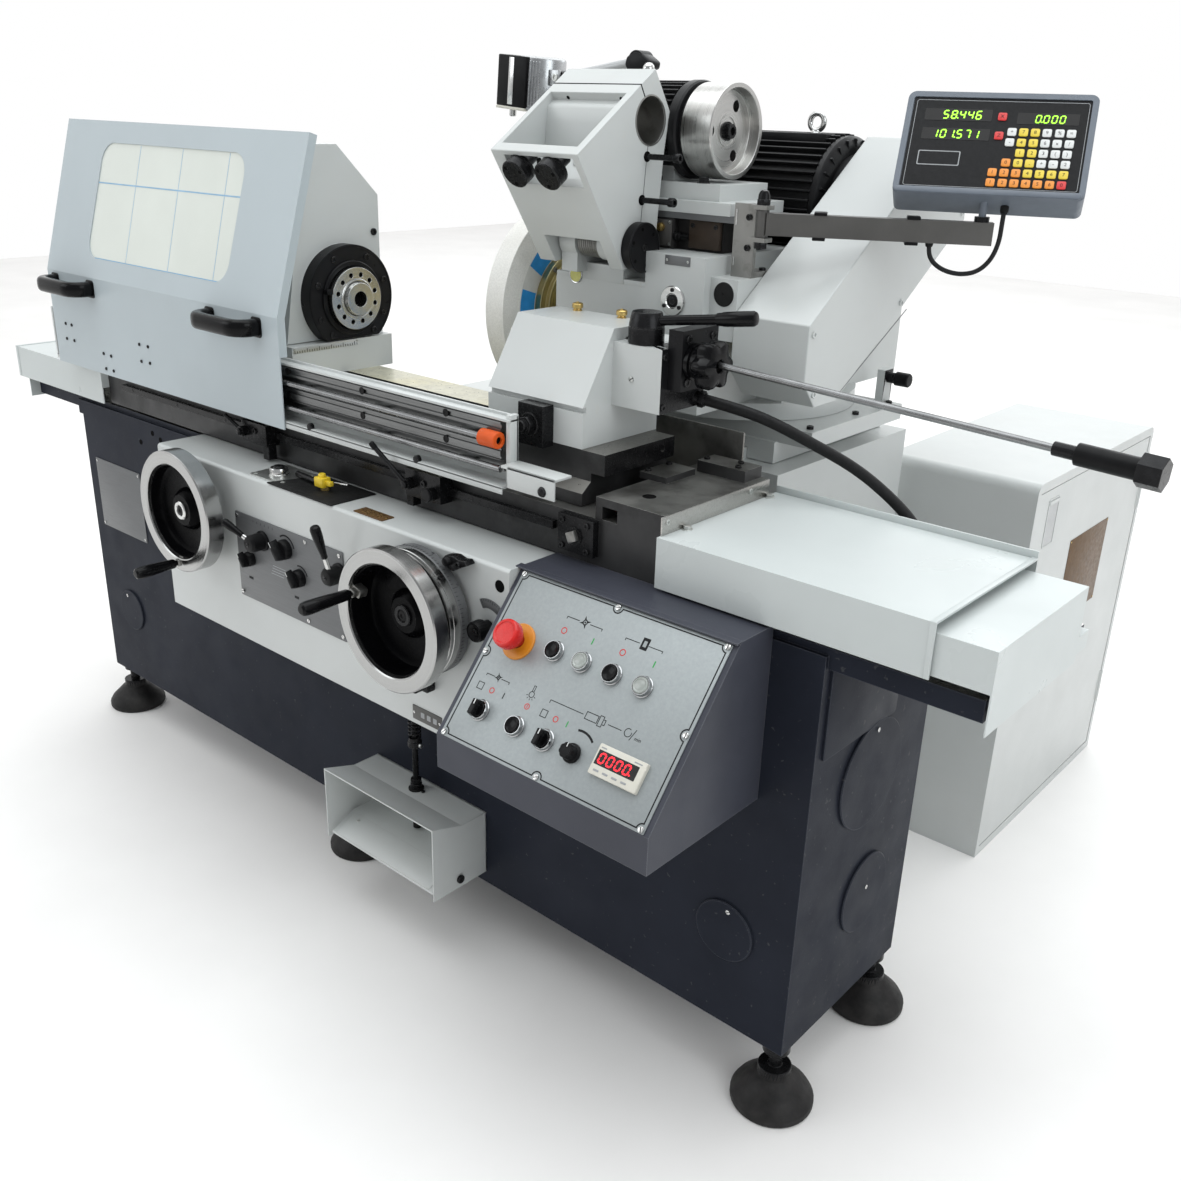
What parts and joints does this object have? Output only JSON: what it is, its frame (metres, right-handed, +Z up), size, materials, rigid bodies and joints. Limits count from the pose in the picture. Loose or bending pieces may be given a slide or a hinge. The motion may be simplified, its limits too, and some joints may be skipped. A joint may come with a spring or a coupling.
{
  "type": "cylindrical grinder",
  "caption": "Universal cylindrical grinder on a cast bed: sliding swivel table with workhead, tailstock and splash guard, cross-slide wheelhead, handwheels, console and electrical cabinet.",
  "frame": {"origin": "middle of the floor area under the whole machine, at floor level", "axes": "+X to the operator's right along the table, +Y away from the operator, +Z up"},
  "size_m": [2.3329, 1.663, 1.403],
  "materials": {
    "bed_paint": "satin dark blue-grey paint",
    "black_iron": "black",
    "cover_white": "white enamel",
    "white_paint": "white enamel, fine orange peel",
    "ground_steel": "ground steel",
    "film": "clear pane",
    "black_plastic": "black, matt",
    "gloss_black": "black, glossy",
    "bright_steel": "polished",
    "rubber_black": "black",
    "abrasive": "bonded abrasive",
    "motor_black": "black enamel",
    "alu": "machined",
    "display_plastic": "dark grey",
    "red_plastic": "red",
    "clear_plastic": "clear cap",
    "grey_console": "satin dark grey"
  },
  "bodies": {
    "base": {"bed": "bed_paint", "levelling_feet": "black_iron", "fixed_end_covers": "cover_white", "apron": "white_paint", "console_box": "grey_console", "pedal_box": "white_paint", "cabinet": "white_paint"},
    "door": {"cabinet_door": "white_paint"},
    "table": {"lower_table": "ground_steel", "moving_end_covers": "cover_white"},
    "dog_left": {"trip_dog_left": "black_iron"},
    "dog_right": {"trip_dog_right": "black_iron"},
    "swivel_table": {"upper_table": "ground_steel", "guard_rail": "alu"},
    "guard": {"guard_shell": "white_paint", "guard_window": "film", "guard_handles": "black_plastic"},
    "workhead": {"workhead_body": "white_paint"},
    "work_spindle_body": {"work_spindle": "ground_steel"},
    "tailstock": {"tailstock_body": "white_paint", "hydraulic_hose": "rubber_black"},
    "quill": {"tailstock_quill": "ground_steel"},
    "lever": {"quill_lever": "black_iron"},
    "star": {"star_knob": "black_plastic"},
    "rod": {"ejector_rod": "ground_steel"},
    "cross_slide": {"wheel_slide": "white_paint"},
    "wheelhead": {"wheelhead_body": "white_paint", "belt_guard": "white_paint", "main_motor": "motor_black", "internal_motor": "motor_black", "drive_belt": "rubber_black"},
    "wheel": {"grinding_wheel": "abrasive", "wheel_spindle": "ground_steel"},
    "pulley": {"motor_pulley": "ground_steel"},
    "bracket": {"internal_bracket": "white_paint"},
    "small_pulley": {"internal_motor_pulley": "alu"},
    "readout_arm": {"dro_arm": "alu", "dro_cable": "rubber_black"},
    "readout": {"dro_display": "display_plastic"},
    "lamp_stem": {"lamp_arm": "black_iron"},
    "lamp": {"lamp_head": "alu"},
    "traverse_wheel": {"traverse_handwheel": "bright_steel"},
    "infeed_wheel": {"infeed_handwheel": "bright_steel"},
    "start": {"start_lever": "black_plastic"},
    "feed": {"feed_lever": "black_plastic"},
    "speed": {"speed_knob": "black_plastic"},
    "dwell_left": {"dwell_knob_left": "black_plastic"},
    "dwell_right": {"dwell_knob_right": "black_plastic"},
    "feed_adjust": {"feed_knob": "black_plastic"},
    "pedal": {"foot_pedal": "ground_steel"},
    "pedal_link": {"pedal_rod": "ground_steel"},
    "stop": {"emergency_stop": "red_plastic"},
    "button_1": {"push_button_1": "gloss_black"},
    "button_2": {"push_button_2": "clear_plastic"},
    "button_3": {"push_button_3": "gloss_black"},
    "button_4": {"push_button_4": "clear_plastic"},
    "button_5": {"push_button_5": "gloss_black"},
    "select_left": {"selector_left": "gloss_black"},
    "select_right": {"selector_right": "gloss_black"},
    "pot": {"speed_potentiometer": "gloss_black"}
  },
  "joints": [
    {"name": "door_hinge", "type": "hinge", "parent": "base", "child": "door", "pos_m": [0.807, 0.816, 0.405], "axis": [0, 0, 1], "range_deg": [0, 110]},
    {"name": "traverse_turn", "type": "hinge", "parent": "base", "child": "traverse_wheel", "pos_m": [-0.32, -0.6835, 0.65], "axis": [0, 1, 0], "range_deg": [-4120, 3220]},
    {"name": "table_slide", "type": "slide", "parent": "base", "child": "table", "axis": [1, 0, 0], "range_m": [-0.23, 0.18]},
    {"name": "dog_left_slide", "type": "slide", "parent": "table", "child": "dog_left", "axis": [1, 0, 0], "range_m": [-0.35, 0.15]},
    {"name": "dog_right_slide", "type": "slide", "parent": "table", "child": "dog_right", "axis": [1, 0, 0], "range_m": [-0.15, 0.22]},
    {"name": "table_swivel", "type": "hinge", "parent": "table", "child": "swivel_table", "pos_m": [-0.096, -0.4435, 0.805], "axis": [0, 0, 1], "range_deg": [-0.65, 0.65]},
    {"name": "guard_slide", "type": "slide", "parent": "swivel_table", "child": "guard", "axis": [-1, 0, 0], "range_m": [-0.43, 0.008]},
    {"name": "workhead_swivel", "type": "hinge", "parent": "swivel_table", "child": "workhead", "pos_m": [-0.386, -0.4415, 0.935], "axis": [0, 0, 1], "range_deg": [-8, 8]},
    {"name": "work_turn", "type": "hinge", "parent": "workhead", "child": "work_spindle_body", "pos_m": [-0.331, -0.4235, 1.002], "axis": [1, 0, 0], "continuous": true},
    {"name": "tailstock_slide", "type": "slide", "parent": "swivel_table", "child": "tailstock", "axis": [1, 0, 0], "range_m": [-0.13, 0.02], "deforming": ["hydraulic_hose"]},
    {"name": "quill_lever_turn", "type": "hinge", "parent": "tailstock", "child": "lever", "pos_m": [0.477, -0.4395, 1.035], "axis": [0, 0, 1], "range_deg": [-60, 0]},
    {"name": "quill_slide", "type": "slide", "parent": "tailstock", "child": "quill", "axis": [1, 0, 0], "range_m": [0, 0.032]},
    {"name": "star_turn", "type": "hinge", "parent": "tailstock", "child": "star", "pos_m": [0.569, -0.4235, 1.002], "axis": [1, 0, 0], "continuous": true},
    {"name": "rod_slide", "type": "slide", "parent": "tailstock", "child": "rod", "axis": [0.9987, -0.0306, -0.0402], "range_m": [-0.01, 0.08]},
    {"name": "infeed_turn", "type": "hinge", "parent": "base", "child": "infeed_wheel", "pos_m": [0.264, -0.6835, 0.63], "axis": [0, 1, 0], "range_deg": [-7850, 2130]},
    {"name": "infeed_slide", "type": "slide", "parent": "base", "child": "cross_slide", "axis": [0, -1, 0], "range_m": [-0.11, 0.03]},
    {"name": "wheelhead_swivel", "type": "hinge", "parent": "cross_slide", "child": "wheelhead", "pos_m": [0.349, -0.0185, 0.87], "axis": [0, 0, -1], "range_deg": [-3, 3]},
    {"name": "wheel_turn", "type": "hinge", "parent": "wheelhead", "child": "wheel", "pos_m": [0.269, -0.1855, 1.002], "axis": [1, 0, 0], "continuous": true},
    {"name": "motor_pulley_turn", "type": "hinge", "parent": "wheelhead", "child": "pulley", "pos_m": [0.549, 0.0365, 1.185], "axis": [1, 0, 0], "continuous": true},
    {"name": "bracket_swing", "type": "hinge", "parent": "wheelhead", "child": "bracket", "pos_m": [0.269, -0.2985, 1.125], "axis": [1, 0, 0], "range_deg": [0, 60]},
    {"name": "small_pulley_turn", "type": "hinge", "parent": "wheelhead", "child": "small_pulley", "pos_m": [0.369, -0.1665, 1.288], "axis": [1, 0, 0], "continuous": true},
    {"name": "readout_arm_swivel", "type": "hinge", "parent": "wheelhead", "child": "readout_arm", "pos_m": [0.523, -0.2455, 1.17], "axis": [0, 0, 1], "range_deg": [-75, 0]},
    {"name": "readout_turn", "type": "hinge", "parent": "readout_arm", "child": "readout", "pos_m": [0.7796, -0.09795, 1.175], "axis": [0, 0, 1], "range_deg": [-60, 60], "deforming": ["dro_cable"]},
    {"name": "lamp_swivel", "type": "hinge", "parent": "wheelhead", "child": "lamp_stem", "pos_m": [0.209, -0.0795, 1.145], "axis": [0, 0, 1], "range_deg": [-35, 18]},
    {"name": "lamp_tilt", "type": "hinge", "parent": "lamp_stem", "child": "lamp", "pos_m": [-0.015, -0.0795, 1.361], "axis": [0, 1, 0], "range_deg": [-40, 40]},
    {"name": "start_lever_turn", "type": "hinge", "parent": "base", "child": "start", "pos_m": [-0.145, -0.6735, 0.628], "axis": [0, 1, 0], "range_deg": [-8, 50]},
    {"name": "feed_lever_turn", "type": "hinge", "parent": "base", "child": "feed", "pos_m": [0.06, -0.6735, 0.626], "axis": [0, 1, 0], "range_deg": [-25, 25]},
    {"name": "speed_knob_turn", "type": "hinge", "parent": "base", "child": "speed", "pos_m": [-0.081, -0.6685, 0.63], "axis": [0, 1, 0], "range_deg": [-135, 135]},
    {"name": "dwell_left_turn", "type": "hinge", "parent": "base", "child": "dwell_left", "pos_m": [-0.185, -0.6685, 0.586], "axis": [0, 1, 0], "range_deg": [-135, 135]},
    {"name": "dwell_right_turn", "type": "hinge", "parent": "base", "child": "dwell_right", "pos_m": [-0.046, -0.6685, 0.589], "axis": [0, 1, 0], "range_deg": [-135, 135]},
    {"name": "feed_knob_turn", "type": "hinge", "parent": "base", "child": "feed_adjust", "pos_m": [0.394, -0.6685, 0.639], "axis": [0, 1, 0], "range_deg": [-150, 150]},
    {"name": "pedal_swing", "type": "hinge", "parent": "base", "child": "pedal", "pos_m": [0.149, -0.6245, 0.144], "axis": [1, 0, 0], "range_deg": [0, 12], "stiffness_Nm_per_rad": 5, "springref_deg": -8.59},
    {"name": "pedal_rod_slide", "type": "slide", "parent": "base", "child": "pedal_link", "axis": [0, 0, 1], "range_m": [0, 0.0068]},
    {"name": "stop_press", "type": "slide", "parent": "base", "child": "stop", "axis": [0, 0.7673, -0.6413], "range_m": [0, 0.005], "stiffness_N_per_m": 500, "springref_m": -0.004},
    {"name": "button_1_press", "type": "slide", "parent": "base", "child": "button_1", "axis": [0, 0.7673, -0.6413], "range_m": [0, 0.004], "stiffness_N_per_m": 300, "springref_m": -0.004},
    {"name": "button_2_press", "type": "slide", "parent": "base", "child": "button_2", "axis": [0, 0.7673, -0.6413], "range_m": [0, 0.004], "stiffness_N_per_m": 300, "springref_m": -0.004},
    {"name": "button_3_press", "type": "slide", "parent": "base", "child": "button_3", "axis": [0, 0.7673, -0.6413], "range_m": [0, 0.004], "stiffness_N_per_m": 300, "springref_m": -0.004},
    {"name": "button_4_press", "type": "slide", "parent": "base", "child": "button_4", "axis": [0, 0.7673, -0.6413], "range_m": [0, 0.004], "stiffness_N_per_m": 300, "springref_m": -0.004},
    {"name": "button_5_press", "type": "slide", "parent": "base", "child": "button_5", "axis": [0, 0.7673, -0.6413], "range_m": [0, 0.004], "stiffness_N_per_m": 300, "springref_m": -0.004},
    {"name": "select_left_turn", "type": "hinge", "parent": "base", "child": "select_left", "pos_m": [0.484, -0.76663, 0.58234], "axis": [0, -0.7673, 0.6413], "range_deg": [-45, 45]},
    {"name": "select_right_turn", "type": "hinge", "parent": "base", "child": "select_right", "pos_m": [0.599, -0.76663, 0.58234], "axis": [0, -0.7673, 0.6413], "range_deg": [-45, 45]},
    {"name": "pot_turn", "type": "hinge", "parent": "base", "child": "pot", "pos_m": [0.646, -0.76663, 0.58234], "axis": [0, -0.7673, 0.6413], "range_deg": [-135, 135]}
  ],
  "couplings": [
    {"joint": "table_slide", "follows": "traverse_turn", "m_per_rad": 0.0031831},
    {"joint": "infeed_slide", "follows": "infeed_turn", "m_per_rad": 0.00079577},
    {"joint": "quill_slide", "follows": "quill_lever_turn", "m_per_rad": -0.02865},
    {"joint": "motor_pulley_turn", "follows": "wheel_turn", "ratio": 0.87273},
    {"joint": "pedal_rod_slide", "follows": "pedal_swing", "m_per_rad": 0.031}
  ]
}
